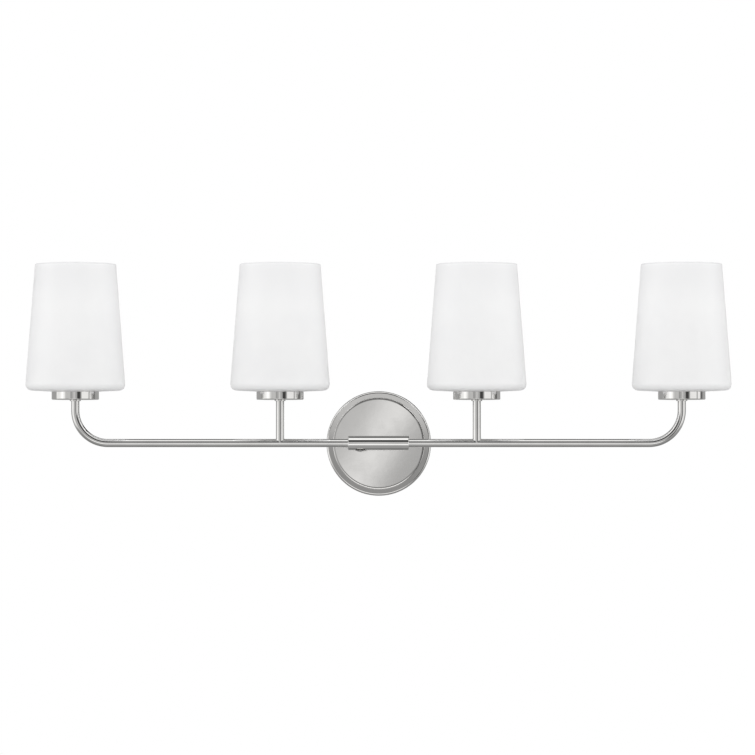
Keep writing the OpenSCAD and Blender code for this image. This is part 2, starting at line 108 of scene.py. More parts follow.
class Graph:
    """A short way to write a material's or the world's nodes."""

    def __init__(self, tree):
        self.tree = tree
        tree.nodes.clear()

    def feed(self, socket, value):
        if isinstance(value, bpy.types.NodeSocket):
            self.tree.links.new(value, socket)
        else:
            socket.default_value = value

    def math(self, operation, *values):
        node = self.tree.nodes.new("ShaderNodeMath")
        node.operation = operation
        for socket, value in zip(node.inputs, values):
            self.feed(socket, value)
        return node.outputs[0]

    def remap(self, value, low_in, high_in, low_out, high_out):
        """A smooth step from low_out to high_out while value goes from low_in to high_in."""
        node = self.tree.nodes.new("ShaderNodeMapRange")
        node.interpolation_type = "SMOOTHSTEP"
        for name, v in (
            ("Value", value),
            ("From Min", low_in),
            ("From Max", high_in),
            ("To Min", low_out),
            ("To Max", high_out),
        ):
            self.feed(node.inputs[name], v)
        return node.outputs["Result"]

    def place(self, scale=(1, 1, 1)):
        """Object coordinates, in metres, stretched by scale."""
        where = self.tree.nodes.new("ShaderNodeTexCoord")
        node = self.tree.nodes.new("ShaderNodeMapping")
        node.inputs["Scale"].default_value = scale
        self.tree.links.new(where.outputs["Object"], node.inputs["Vector"])
        return node.outputs["Vector"]

    def noise(self, scale, detail=3.0, rough=0.5, stretch=(1, 1, 1)):
        node = self.tree.nodes.new("ShaderNodeTexNoise")
        self.feed(node.inputs["Vector"], self.place(stretch))
        node.inputs["Scale"].default_value = scale
        node.inputs["Detail"].default_value = detail
        node.inputs["Roughness"].default_value = rough
        return node.outputs["Fac"]

    def mix(self, amount, a, b):
        node = self.tree.nodes.new("ShaderNodeMix")
        node.data_type = "RGBA"
        self.feed(node.inputs["Factor"], amount)
        self.feed(node.inputs["A"], (*a, 1.0) if isinstance(a, tuple) else a)
        self.feed(node.inputs["B"], (*b, 1.0) if isinstance(b, tuple) else b)
        return node.outputs["Result"]

    def split(self, vector):
        """The x, y and z of a vector."""
        node = self.tree.nodes.new("ShaderNodeSeparateXYZ")
        self.feed(node.inputs[0], vector)
        return node.outputs

    def background(self, strength, colour=None):
        node = self.tree.nodes.new("ShaderNodeBackground")
        if colour is not None:
            node.inputs["Color"].default_value = (*colour, 1)
        self.feed(node.inputs["Strength"], strength)
        return node.outputs[0]

    def blend(self, amount, one, two):
        """Mixes two shaders."""
        node = self.tree.nodes.new("ShaderNodeMixShader")
        for socket, value in zip(node.inputs, (amount, one, two)):
            self.feed(socket, value)
        return node.outputs[0]

    def bump(self, height, strength, distance, under=None):
        node = self.tree.nodes.new("ShaderNodeBump")
        node.inputs["Strength"].default_value = strength
        node.inputs["Distance"].default_value = distance
        self.feed(node.inputs["Height"], height)
        if under is not None:
            self.feed(node.inputs["Normal"], under)
        return node.outputs["Normal"]


def principled(name, **values):
    """A material with one Principled shader; values go on the shader's own sockets."""
    material = bpy.data.materials.new(name)
    material.use_nodes = True
    graph = Graph(material.node_tree)
    out = graph.tree.nodes.new("ShaderNodeOutputMaterial")
    shader = graph.tree.nodes.new("ShaderNodeBsdfPrincipled")
    graph.tree.links.new(shader.outputs["BSDF"], out.inputs["Surface"])
    for key, value in values.items():
        shader.inputs[key.replace("_", " ")].default_value = value
    return material, graph, shader


# ---- materials ----


def make_chrome(name, tone, rough_low, rough_high, streak):
    """Polished plating: faint smudges, hairlines along streak and a trace of orange peel."""
    material, g, s = principled(name, Metallic=1.0)
    smudge = g.noise(38, 4, 0.6)
    hairs = g.noise(900, 2, 0.5, streak)
    worn = tuple(c * 0.93 for c in tone)
    g.feed(s.inputs["Base Color"], g.mix(g.remap(smudge, 0.35, 0.75, 0, 1), tone, worn))
    level = g.math("ADD", g.math("MULTIPLY", smudge, 0.75), g.math("MULTIPLY", hairs, 0.25))
    g.feed(s.inputs["Roughness"], g.remap(level, 0.35, 0.7, rough_low, rough_high))
    peel = g.bump(g.noise(150, 2), 0.03, 0.0002)
    g.feed(s.inputs["Normal"], g.bump(hairs, 0.012, 0.00005, peel))
    return material


def make_opal():
    """Etched opal glass: white all through, a satin skin and faint clouds, with painted shade that
    darkens the top of the shade and paints a darker line at the rim.
    """
    material, g, s = principled(
        "opal_glass",
        Subsurface_Weight=0.35,
        Subsurface_Scale=0.02,
        Coat_Weight=0.12,
        Coat_Roughness=0.35,
    )
    s.inputs["Subsurface Radius"].default_value = (1.0, 1.0, 1.0)
    cloud = g.noise(14, 3, 0.55)
    body = g.mix(g.remap(cloud, 0.3, 0.7, 0, 1), (0.93, 0.93, 0.93), (0.90, 0.90, 0.905))
    z = g.split(g.place())[2]
    top = high("shade_1").z
    # painted shade: the colour darkens over the top 60 mm of the glass, and a thin darker line is
    # painted at the rim
    painted_top_shade = g.remap(z, top - 60 * MM, top - 2 * MM, 0, 1)
    rim = g.remap(z, top - 2 * MM, top - 0.6 * MM, 0, 0.7)
    colour = g.mix(rim, g.mix(painted_top_shade, body, (0.83, 0.83, 0.835)), (0.66, 0.66, 0.67))
    g.feed(s.inputs["Base Color"], colour)
    g.feed(s.inputs["Roughness"], g.remap(g.noise(90, 4), 0.3, 0.7, 0.34, 0.46))
    grain = g.bump(g.noise(2600, 3, 0.6), 0.06, 0.00005)
    g.feed(s.inputs["Normal"], g.bump(g.noise(22, 2), 0.03, 0.0006, grain))
    return material


def make_zinc():
    """Zinc plated steel: cloudy grey with a fine drawn grain."""
    material, g, s = principled("zinc_steel", Metallic=1.0)
    cloud = g.remap(g.noise(60, 5, 0.65), 0.3, 0.7, 0, 1)
    g.feed(s.inputs["Base Color"], g.mix(cloud, (0.72, 0.72, 0.70), (0.62, 0.63, 0.62)))
    g.feed(s.inputs["Roughness"], g.remap(g.noise(160, 4), 0.3, 0.7, 0.24, 0.44))
    g.feed(s.inputs["Normal"], g.bump(g.noise(1400, 2, 0.5, (0.06, 1, 1)), 0.18, 0.0001))
    return material


def make_brass():
    """Stamped brass: warm, slightly tarnished in patches."""
    material, g, s = principled("brass", Metallic=1.0)
    patch = g.noise(120, 4, 0.6)
    tarnish = g.remap(patch, 0.35, 0.7, 0, 1)
    g.feed(s.inputs["Base Color"], g.mix(tarnish, (0.86, 0.66, 0.32), (0.62, 0.43, 0.19)))
    g.feed(s.inputs["Roughness"], g.remap(patch, 0.3, 0.7, 0.16, 0.36))
    g.feed(s.inputs["Normal"], g.bump(g.noise(800, 2), 0.08, 0.0001))
    return material


def make_moulded(name, light, dark, rough, coat=0.0):
    """Moulded plastic, rubber or glazed ceramic: mottled colour and a fine skin."""
    material, g, s = principled(name, Coat_Weight=coat, Coat_Roughness=0.08)
    g.feed(s.inputs["Base Color"], g.mix(g.remap(g.noise(70, 4), 0.3, 0.7, 0, 1), light, dark))
    g.feed(s.inputs["Roughness"], g.remap(g.noise(240, 3), 0.3, 0.7, rough - 0.06, rough + 0.08))
    g.feed(s.inputs["Normal"], g.bump(g.noise(1200, 3), 0.1, 0.00008))
    return material


BRIGHT = (0.86, 0.855, 0.845)
chrome = make_chrome("polished_metal", BRIGHT, 0.02, 0.075, (0.05, 1, 1))
chrome_upright = make_chrome("polished_metal_upright", BRIGHT, 0.02, 0.075, (1, 1, 0.05))
chrome_plate = make_chrome("polished_metal_plate", (0.86, 0.853, 0.842), 0.035, 0.07, (0.08, 1, 1))
opal = make_opal()
zinc = make_zinc()
brass = make_brass()
porcelain = make_moulded("porcelain", (0.90, 0.89, 0.86), (0.86, 0.85, 0.81), 0.22, 0.5)
ring_plastic = make_moulded("ring_plastic", (0.88, 0.87, 0.83), (0.83, 0.82, 0.77), 0.38)
rubber = make_moulded("gasket_rubber", (0.06, 0.06, 0.06), (0.035, 0.035, 0.035), 0.7)
black_wire = make_moulded("black_wire", (0.03, 0.03, 0.03), (0.018, 0.018, 0.018), 0.35)
white_wire = make_moulded("white_wire", (0.84, 0.84, 0.82), (0.78, 0.78, 0.75), 0.35)
green_wire = make_moulded("green_wire", (0.05, 0.34, 0.11), (0.03, 0.26, 0.08), 0.35)
green_metal = make_moulded("green_metal", (0.05, 0.30, 0.11), (0.03, 0.21, 0.07), 0.28, 0.3)
orange_plastic = make_moulded("connector_plastic", (0.86, 0.30, 0.04), (0.76, 0.25, 0.03), 0.42)

# what a CAD node with no visual piece of its own wears, by its slot in the record
SLOT_MATERIALS = {
    "polished_metal": chrome,
    "zinc_steel": zinc,
    "green_metal": green_metal,
    "green_wire": green_wire,
    "black_wire": black_wire,
    "white_wire": white_wire,
    "connector_plastic": orange_plastic,
    "porcelain": porcelain,
    "brass": brass,
    "opal_glass": opal,
    "gasket_rubber": rubber,
    "ring_plastic": ring_plastic,
}


# ---- mesh code ----


def arc(x, y, r, start, end, steps=8):
    """Points of an arc round (x, y), angles in degrees."""
    turns = [math.radians(start + (end - start) * i / steps) for i in range(steps + 1)]
    return [(x + r * math.cos(a), y + r * math.sin(a)) for a in turns]


def rounded(corners, steps=5):
    """A closed outline from (x, y, radius) corners, each corner of radius over 0 made round."""
    points = []
    for i, (x, y, r) in enumerate(corners):
        here = Vector((x, y))
        if r <= 0:
            points.append((x, y))
            continue
        back = (Vector(corners[i - 1][:2]) - here).normalized()
        on = (Vector(corners[(i + 1) % len(corners)][:2]) - here).normalized()
        half = back.angle(on) / 2
        reach = r / math.tan(half)
        centre = here + (back + on).normalized() * (r / math.sin(half))
        first = here + back * reach - centre
        last = here + on * reach - centre
        a0 = math.atan2(first.y, first.x)
        turn = (math.atan2(last.y, last.x) - a0 + math.pi) % (2 * math.pi) - math.pi
        for k in range(steps + 1):
            a = a0 + turn * k / steps
            points.append((centre.x + r * math.cos(a), centre.y + r * math.sin(a)))
    return points


def held(points, inset=0.25 * MM):
    """Adds a point near each end of long straights, so that roundings don't bend their shading."""
    result = []
    for one, two in zip(points, points[1:]):
        result.append(one)
        a, b = Vector(one), Vector(two)
        if (b - a).length > 4 * inset:
            step = (b - a).normalized() * inset
            result += [tuple(a + step), tuple(b - step)]
    return result + [points[-1]]


def finish_mesh(name, bm, material, body, node=None, sharp=SHARP):
    """Turns a bmesh into a piece that rides on a body and, where named, stands for a CAD node."""
    bmesh.ops.remove_doubles(bm, verts=bm.verts, dist=1e-7)
    bmesh.ops.dissolve_degenerate(bm, edges=bm.edges, dist=1e-8)
    bmesh.ops.recalc_face_normals(bm, faces=bm.faces)
    mesh = bpy.data.meshes.new(name)
    bm.to_mesh(mesh)
    bm.free()
    mesh.shade_smooth()
    mesh.set_sharp_from_angle(angle=sharp)
    mesh.materials.append(material)
    piece = bpy.data.objects.new(name, mesh)
    bpy.context.scene.collection.objects.link(piece)
    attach(piece, body)
    if node is not None:
        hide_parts(*([node] if isinstance(node, str) else node))
    return piece


def lathe(bm, outline, at, steps=96, turn=None, swell=None):
    """Adds a closed (radius, height) outline turned about an axis.

    swell(radius, height, angle) adds to the radius.
    """
    turn = turn or Matrix.Identity(3)
    at = Vector(at)
    rings = []
    for i in range(steps):
        a = 2 * math.pi * i / steps
        ring = []
        for r, h in outline:
            reach = r + swell(r, h, a) if swell else r
            spot = Vector((reach * math.cos(a), reach * math.sin(a), h))
            ring.append(bm.verts.new(at + turn @ spot))
        rings.append(ring)
    for i, ring in enumerate(rings):
        other = rings[(i + 1) % steps]
        for k in range(len(ring)):
            j = (k + 1) % len(ring)
            corners = [ring[k], other[k], other[j], ring[j]]
            if (ring[k].co - other[k].co).length < 1e-9:
                corners.remove(other[k])
            if (ring[j].co - other[j].co).length < 1e-9:
                corners.remove(other[j])
            if len(corners) > 2:
                bm.faces.new(corners)


def turned(name, outline, material, body, node, at=(0, 0, 0), steps=96, sharp=SHARP, **how):
    """A piece that is one lathed outline."""
    bm = bmesh.new()
    lathe(bm, outline, at, steps, **how)
    finish_mesh(name, bm, material, body, node, sharp)


# turns of a lathe's axis, which starts out upright
UPRIGHT = Matrix.Identity(3)
DOWN = Matrix.Rotation(math.pi, 3, "X")
OUT = Matrix.Rotation(math.pi / 2, 3, "X")  # away from the wall
TO_WALL = Matrix.Rotation(-math.pi / 2, 3, "X")
RIGHT = Matrix.Rotation(math.pi / 2, 3, "Y")
LEFT = Matrix.Rotation(-math.pi / 2, 3, "Y")


def thread_swell(r0, z0, z1, pitch, depth):
    """A rounded helical thread on the stretch z0 to z1 of a surface of radius r0."""

    def swell(r, h, a):
        if abs(r - r0) > 1e-5 or h < z0 or h > z1:
            return 0.0
        fade = min(1.0, (h - z0) / pitch, (z1 - h) / pitch)
        wave = 0.5 - 0.5 * math.cos(2 * math.pi * (h / pitch - a / (2 * math.pi)))
        return depth * fade * wave

    return swell


def steps_between(r, z0, z1, count):
    """Points up a straight wall, close enough together to carry a thread."""
    return [(r, z0 + (z1 - z0) * i / count) for i in range(count + 1)]


def sweep(bm, path, outer, inner, steps):
    """Adds a hollow tube along a path that lies in an upright plane along the wall."""
    square = Vector((0, 1, 0))
    loops = {outer: [], inner: []}
    for i, p in enumerate(path):
        before = path[max(i - 1, 0)]
        after = path[min(i + 1, len(path) - 1)]
        along = (after - before).normalized()
        side = along.cross(square).normalized()
        for r, rings in loops.items():
            ring = []
            for k in range(steps):
                a = 2 * math.pi * k / steps
                spot = p + side * (r * math.cos(a)) + square * (r * math.sin(a))
                ring.append(bm.verts.new(spot))
            rings.append(ring)
    for rings in loops.values():
        for one, two in zip(rings, rings[1:]):
            for k in range(steps):
                j = (k + 1) % steps
                bm.faces.new([one[k], one[j], two[j], two[k]])
    for end in (0, -1):
        out_ring, in_ring = loops[outer][end], loops[inner][end]
        for k in range(steps):
            j = (k + 1) % steps
            bm.faces.new([out_ring[k], out_ring[j], in_ring[j], in_ring[k]])


# ---- wall plate ----


def build_plate():
    """Spun plate: a crowned face with a rolled edge, a drafted wall, a ledge and a round lip."""
    floor = -PLATE_FRONT
    ledge = 6.6 * MM  # height of the ledge at the wall's foot
    rim = 5.7 * MM  # and at the lip
    crown = 0.32 * MM
    hole = size("arm_nipple").x / 2
    face_r = PLATE_LEDGE_R - PLATE_DRAFT
    roll_r = face_r - 0.5 * MM
    rings = 12
    face = [(roll_r * i / rings, floor - crown * (i / rings) ** 2) for i in range(rings, 1, -1)]
    outline = rounded(
        [
            (PLATE_R - SHEET, 0, 0.2 * MM),
            (PLATE_R, 0, 0.3 * MM),
            (PLATE_R, rim, 2.8 * MM),
            (PLATE_LEDGE_R, ledge, 0.4 * MM),
            (face_r, floor - crown - 0.03 * MM, 0.3 * MM),
        ],
        steps=10,
    )
    outline = held(outline) + face + [(hole, floor), (hole, floor - SHEET)]
    outline += rounded(
        [
            (hole + 1 * MM, floor - SHEET, 0),
            (face_r - SHEET, floor - SHEET - crown, 0.8 * MM),
            (PLATE_LEDGE_R - SHEET, ledge - SHEET, 1.4 * MM),
            (PLATE_R - SHEET, rim - SHEET, 1.6 * MM),
            (PLATE_R - SHEET, 0.5 * MM, 0),
        ]
    )
    turned("back_plate_shell", outline, chrome_plate, "fixture", "back_plate", steps=256, turn=OUT)


# ---- round and hexagonal metal ----


def from_flat(a):
    """Angle from the middle of the nearest of a hexagon's six flats."""
    return (a + math.pi / 6) % (math.pi / 3) - math.pi / 6


def nut(bm, at, turn, flat_r, bore, h0, h1, chamfer=0.5 * MM):
    """Adds a hexagonal nut, its corners chamfered: a turned shape trimmed to its flats."""
    corner = flat_r / math.cos(math.pi / 6)

    def flats(r, h, a):
        if r < bore + 0.5 * MM:
            return 0.0
        return min(0.0, flat_r / math.cos(from_flat(a)) - r)

    outline = [
        (bore, h0 + 0.3 * MM),
        (bore + 0.3 * MM, h0),
        (corner - chamfer * 1.6, h0),
        (corner, h0 + chamfer),
        (corner, h1 - chamfer),
        (corner - chamfer * 1.6, h1),
        (bore + 0.3 * MM, h1),
        (bore, h1 - 0.3 * MM),
    ]
    lathe(bm, outline, at, 96, turn, flats)


def saddle_tube(bm, at, turn, r_out, r_in, seat_r, top, weld):
    """Adds a tube on local Z whose foot is cut to sit on a round bar along local X.

    A fillet of size weld runs round its foot.
    """
    at = Vector(at)
    steps = 96

    def spot(x, y, z):
        return bm.verts.new(at + turn @ Vector((x, y, z)))

    def foot(r, a):
        return math.sqrt(max(seat_r**2 - (r * math.sin(a)) ** 2, 0.0))

    outer_low, outer_high, inner_low, inner_high, strips = [], [], [], [], []
    bends = 5
    for i in range(steps):
        a = 2 * math.pi * i / steps
        c, s = math.cos(a), math.sin(a)
        outer_low.append(spot(r_out * c, r_out * s, foot(r_out, a)))
        outer_high.append(spot(r_out * c, r_out * s, top))
        inner_low.append(spot(r_in * c, r_in * s, foot(r_in, a)))
        inner_high.append(spot(r_in * c, r_in * s, top))
        # the fillet bends from the tube's wall, round the corner, onto the bar
        reach = weld * abs(c) ** 0.7 + 0.02 * MM
        lean = math.asin(min(r_out * abs(s) / seat_r, 1.0)) * (1 if s >= 0 else -1)
        lean += reach / seat_r * s
        corner = Vector((r_out * c, r_out * s, foot(r_out, a)))
        on_tube = Vector((r_out * c, r_out * s, foot(r_out, a) + reach))
        on_bar = Vector((r_out * c + reach * c, seat_r * math.sin(lean), seat_r * math.cos(lean)))
        strip = []
        for k in range(bends + 1):
            t = k / bends
            p = on_tube * (1 - t) ** 2 + corner * (2 * t * (1 - t)) + on_bar * t**2
            strip.append(spot(*p))
        strip.append(spot(*(corner * 0.96)))
        strips.append(strip)
    for i in range(steps):
        j = (i + 1) % steps
        bm.faces.new([outer_low[i], outer_low[j], outer_high[j], outer_high[i]])
        bm.faces.new([inner_low[j], inner_low[i], inner_high[i], inner_high[j]])
        bm.faces.new([outer_high[i], outer_high[j], inner_high[j], inner_high[i]])
        bm.faces.new([outer_low[j], outer_low[i], inner_low[i], inner_low[j]])
        one, two = strips[i], strips[j]
        for k in range(len(one)):
            m = (k + 1) % len(one)
            bm.faces.new([one[k], two[k], two[m], one[m]])


def build_sleeve():
    """Turned sleeve round the bars' inner ends, chamfered at both ends."""
    half = size("center_sleeve").x / 2
    chamfer = 0.9 * MM
    soft = 0.22 * MM
    outline = rounded(
        [
            (FIT_R, -half, soft),
            (SLEEVE_R - chamfer, -half, soft),
            (SLEEVE_R, -half + chamfer, soft),
            (SLEEVE_R, half - chamfer, soft),
            (SLEEVE_R - chamfer, half, soft),
            (FIT_R, half, soft),
        ]
    )
    turned(
        "sleeve_body",
        outline,
        chrome,
        "fixture",
        "center_sleeve",
        at=(0, BAR_Y, 0),
        steps=128,
        turn=RIGHT,
    )


def build_set_screw():
    """Domed head with a hexagonal socket, under the sleeve."""
    lo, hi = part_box("sleeve_set_screw")
    head_r = (hi.x - lo.x) / 2
    head_h = -SLEEVE_R - lo.z
    dome_r = (head_r**2 + head_h**2) / (2 * head_h)
    key = 2.0 * MM
    key_floor = 0.6 * MM
    shank_r, shank = 2.0 * MM, 3.0 * MM
    rings = 12
    outline = [(0, key_floor), (key, key_floor)]
    for i in range(rings + 1):
        r = key + (head_r - key) * i / rings
        outline.append((r, head_h - dome_r + math.sqrt(dome_r**2 - r**2)))
    outline += [(head_r - 0.1 * MM, 0.0), (shank_r, 0.0), (shank_r, -shank), (0, -shank)]

    def socket(r, h, a):
        if h < key_floor / 2 or abs(r - key) > 1e-6:
            return 0.0
        return 0.9 * key / math.cos(from_flat(a)) - r

    turned(
        "set_screw_head",
        outline,
        chrome,
        "fixture",
        "sleeve_set_screw",
        at=((lo.x + hi.x) / 2, BAR_Y, -SLEEVE_R),
        turn=DOWN,
        swell=socket,
    )


def bar_path(side):
    """From inside the sleeve, along the bar, round the bend and up to the lampholder."""
    inner_end = 8.0 * MM
    path = [(inner_end, 0), (37.0 * MM, 0), (INNER_X, 0)]
    path += arc(OUTER_X - BEND_R, BEND_R, BEND_R, -90, 0, 36)
    path.append((OUTER_X, STEM_TOP))
    return [Vector((side * x, BAR_Y, z)) for x, z in path]


def build_bars():
    """The two bent tubes."""
    for name, side in (("bar_left", -1), ("bar_right", 1)):
        bm = bmesh.new()
        sweep(bm, bar_path(side), TUBE_R, TUBE_BORE, 64)
        finish_mesh(f"{name}_tube", bm, chrome, "fixture", name)


def build_stems():
    """The inner lamps' stems on the bars, a hair thinner than these so that the saddles close."""
    stem_r = TUBE_R - 0.03 * MM
    for name, x in (("stem_left", LAMP_X[2]), ("stem_right", LAMP_X[3])):
        bm = bmesh.new()
        saddle_tube(bm, (x, BAR_Y, 0), UPRIGHT, stem_r, TUBE_BORE, TUBE_R, STEM_TOP, 0.9 * MM)
        finish_mesh(f"{name}_tube", bm, chrome_upright, "fixture", name, math.radians(50))


def build_arm():
    """The arm from the sleeve's back to the plate, and its nipple, washer and nut behind that."""
    arm_r = size("arm").x / 2
    reach = PLATE_FRONT - BAR_Y
    bm = bmesh.new()
    saddle_tube(bm, (0, BAR_Y, 0), TO_WALL, arm_r, arm_r - SHEET, SLEEVE_R, reach, 1.1 * MM)
    finish_mesh("arm_tube", bm, chrome, "fixture", "arm", math.radians(50))

    lo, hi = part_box("arm_nipple")
    nipple_r = (hi.x - lo.x) / 2
    bore = nipple_r - 1.3 * MM
    depth = 0.35 * MM
    root = nipple_r - depth
    h0, h1 = -hi.y, -lo.y
    outline = [(bore, h0), (root, h0)]
    outline += steps_between(root, h0 + 0.2 * MM, h1 - 0.2 * MM, 140)
    outline += [(root, h1), (bore, h1)]
    thread = dict(turn=OUT, swell=thread_swell(root, h0, h1, 1.0 * MM, depth))
    turned("nipple_thread", outline, zinc, "fixture", "arm_nipple", steps=64, **thread)

    lo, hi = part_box("lock_washer")
    r = (hi.x - lo.x) / 2
    outline = rounded(
        [(nipple_r, -hi.y, 0), (r, -hi.y, 0.3 * MM), (r, -lo.y, 0.3 * MM), (nipple_r, -lo.y, 0)]
    )

    def teeth(r, h, a):
        return -0.35 * MM * max(0.0, math.cos(14 * a)) if r > 9 * MM else 0.0

    turned("washer_ring", outline, zinc, "fixture", "lock_washer", turn=OUT, swell=teeth)

    lo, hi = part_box("arm_nut")
    flat_r = (hi.z - lo.z) / 2
    bm = bmesh.new()
    nut(bm, (0, 0, 0), OUT, flat_r, nipple_r + 0.05 * MM, -hi.y, -lo.y, 0.6 * MM)
    finish_mesh("arm_nut_hex", bm, zinc, "fixture", "arm_nut")


def build_plate_screws():
    """Pan heads at the plate's two sides, each with a driving slot, and threaded shanks."""
    lo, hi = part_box("plate_screws")
    head_r = (hi.z - lo.z) / 2
    y = (lo.y + hi.y) / 2
    face = PLATE_R - 9.4 * MM
    head_h = hi.x - face
    root, shank = 1.45 * MM, 9 * MM
    outline = [(0, -shank), (1.3 * MM, -shank)]
    outline += steps_between(root, -8.5 * MM, -0.3 * MM, 60)
    outline += [(root, 0), (head_r, 0)]
    for degrees in range(8, 89, 8):
        a = math.radians(degrees)
        outline.append((head_r * math.cos(a), head_h * math.sin(a) ** 0.8))
    outline.append((0, head_h))
    thread = thread_swell(root, -8.6 * MM, -0.2 * MM, 0.8 * MM, 0.28 * MM)
    bm, slots = bmesh.new(), bmesh.new()
    for side, turn in ((-1, LEFT), (1, RIGHT)):
        lathe(bm, outline, (side * face, y, 0), 64, turn, thread)
        place = Matrix.Translation((side * (face + head_h * 0.95), y, 0))
        slot = Matrix.Diagonal((head_h, 0.9 * MM, 4 * head_r, 1))
        bmesh.ops.create_cube(slots, size=1, matrix=place @ slot)
    piece = finish_mesh("plate_screw_heads", bm, chrome, "fixture", "plate_screws")
    carve(piece, slots)


def carve(piece, cutters):
    """Cuts the cutters' shapes, a bmesh, out of a piece."""
    mesh = bpy.data.meshes.new("cutter")
    cutters.to_mesh(mesh)
    cutters.free()
    cutter = bpy.data.objects.new("cutter", mesh)
    bpy.context.scene.collection.objects.link(cutter)
    cut = piece.modifiers.new("cut", "BOOLEAN")
    cut.operation = "DIFFERENCE"
    cut.solver = "EXACT"
    cut.object = cutter
    graph = bpy.context.evaluated_depsgraph_get()
    result = bpy.data.meshes.new_from_object(piece.evaluated_get(graph))
    piece.modifiers.clear()
    piece.data = result
    piece.data.shade_smooth()
    piece.data.set_sharp_from_angle(angle=SHARP)
    bpy.data.objects.remove(cutter)


# ---- lamps ----


def lamp_axis(n):
    return (LAMP_X[n], BAR_Y, 0)


def build_collars():
    """Round nuts under the cups and hexagonal ones inside them."""
    lo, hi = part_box("collar_nuts")
    r = hi.x - OUTER_X
    outline = rounded(
        [(FIT_R, lo.z, 0.25 * MM), (r, lo.z, 0.5 * MM), (r, hi.z, 0.25 * MM), (FIT_R, hi.z, 0)]
    )
    lock_lo, lock_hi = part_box("lock_nuts")
    collars, locks = bmesh.new(), bmesh.new()
    for n in LAMPS:
        lathe(collars, outline, lamp_axis(n))
        nut(locks, lamp_axis(n), UPRIGHT, 7.5 * MM, FIT_R, lock_lo.z, lock_hi.z)
    finish_mesh("collar_rings", collars, chrome, "fixture", "collar_nuts")
    finish_mesh("lock_nut_hexes", locks, zinc, "fixture", "lock_nuts")


def build_cup(n):
    """Shallow open cup with rounded edges, on which the shade stands."""
    floor = CUP_Z + 1.5 * MM
    outline = rounded(
        [
            (FIT_R, CUP_Z, 0),
            (CUP_R, CUP_Z, 1.0 * MM),
            (CUP_R, SEAT_Z, 0.7 * MM),
            (CUP_R - SHEET, SEAT_Z, 0.25 * MM),
            (CUP_R - SHEET, floor, 0.6 * MM),
            (FIT_R, floor, 0),
        ],
        steps=8,
    )
    turned(
        f"cup_metal_{n}",
        held(outline),
        chrome_upright,
        "fixture",
        f"cup_{n}",
        at=lamp_axis(n),
        steps=160,
    )


def build_shade(n):
    """Tapered glass with a ground rim, round lower corners and a floor with a fitter hole."""
    top = high(f"shade_{n}").z
    base_r, top_r = 61.35 * MM, 49.35 * MM  # the taper's sides, carried to the seat and to the rim
    height = top - SEAT_Z
    tilt = math.atan((base_r - top_r) / height)
    corner = 7.5 * MM
    belly = 1.2 * MM  # how far the floor bends up between the seat and the corner
    corner_h = SEAT_Z + belly + corner
    corner_r = base_r - (corner + (corner_h - SEAT_Z) * math.sin(tilt)) / math.cos(tilt)
    seat_r = CUP_R + 1.5 * MM
    lean = math.degrees(tilt)
    rim = 0.9 * MM
    chamfer = 0.4 * MM
    below = 10 * MM  # where the rim's straight sides begin
    inner_r = top_r - GLASS / math.cos(tilt)
    outline = [(FITTER_R, SEAT_Z + chamfer), (FITTER_R + chamfer, SEAT_Z), (seat_r, SEAT_Z)]
    outline += arc(corner_r, corner_h, corner, -90, lean, 20)
    outline += rounded(
        [
            (top_r + below * math.tan(tilt), top - below, 0),
            (top_r, top, rim),
            (inner_r, top, rim),
            (inner_r + below * math.tan(tilt), top - below, 0),
        ],
        steps=6,
    )
    outline += arc(corner_r, corner_h, corner - GLASS, lean, -90, 14)
    floor = SEAT_Z + GLASS
    outline += [(seat_r, floor), (FITTER_R + chamfer, floor), (FITTER_R, floor - chamfer)]
    turned(
        f"shade_glass_{n}",
        outline,
        opal,
        f"shade_unit_{n}",
        f"shade_{n}",
        at=lamp_axis(n),
        steps=192,
        sharp=math.radians(40),
    )


def build_gasket(n):
    """Flat rubber ring between the glass and its retaining ring."""
    lo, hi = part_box(f"gasket_{n}")
    r = (hi.x - lo.x) / 2
    outline = rounded(
        [
            (FITTER_R, lo.z, 0.2 * MM),
            (r, lo.z, 0.4 * MM),
            (r, hi.z, 0.4 * MM),
            (FITTER_R, hi.z, 0.2 * MM),
        ]
    )
    at = lamp_axis(n)
    turned(f"gasket_disc_{n}", outline, rubber, f"shade_unit_{n}", f"gasket_{n}", at=at)


def build_ring(n):
    """Moulded ring with finger notches and an inside thread."""
    lo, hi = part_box(f"retaining_ring_{n}")
    r = (hi.x - lo.x) / 2
    flange = lo.z + 2 * MM
    notch = 1.2 * MM
    outline = rounded(
        [
            (RING_BORE, lo.z, 0.3 * MM),
            (r, lo.z, 0.5 * MM),
            (r, hi.z, 0.8 * MM),
            (RING_BORE + 2.5 * MM, hi.z, 0.6 * MM),
        ]
    )
    outline += steps_between(RING_BORE, hi.z - 1.2 * MM, lo.z + 0.4 * MM, 24)
    thread = thread_swell(RING_BORE, lo.z, hi.z, 2.0 * MM, 0.45 * MM)

    def swell(reach, h, a):
        if abs(reach - RING_BORE) < 1e-5:
            return thread(reach, h, a)
        if reach < r - notch or h < flange:
            return 0.0
        return -notch * max(0.0, math.cos(12 * a)) ** 1.5

    turned(
        f"ring_moulding_{n}",
        outline,
        ring_plastic,
        f"ring_unit_{n}",
        f"retaining_ring_{n}",
        at=lamp_axis(n),
        steps=240,
        swell=swell,
    )


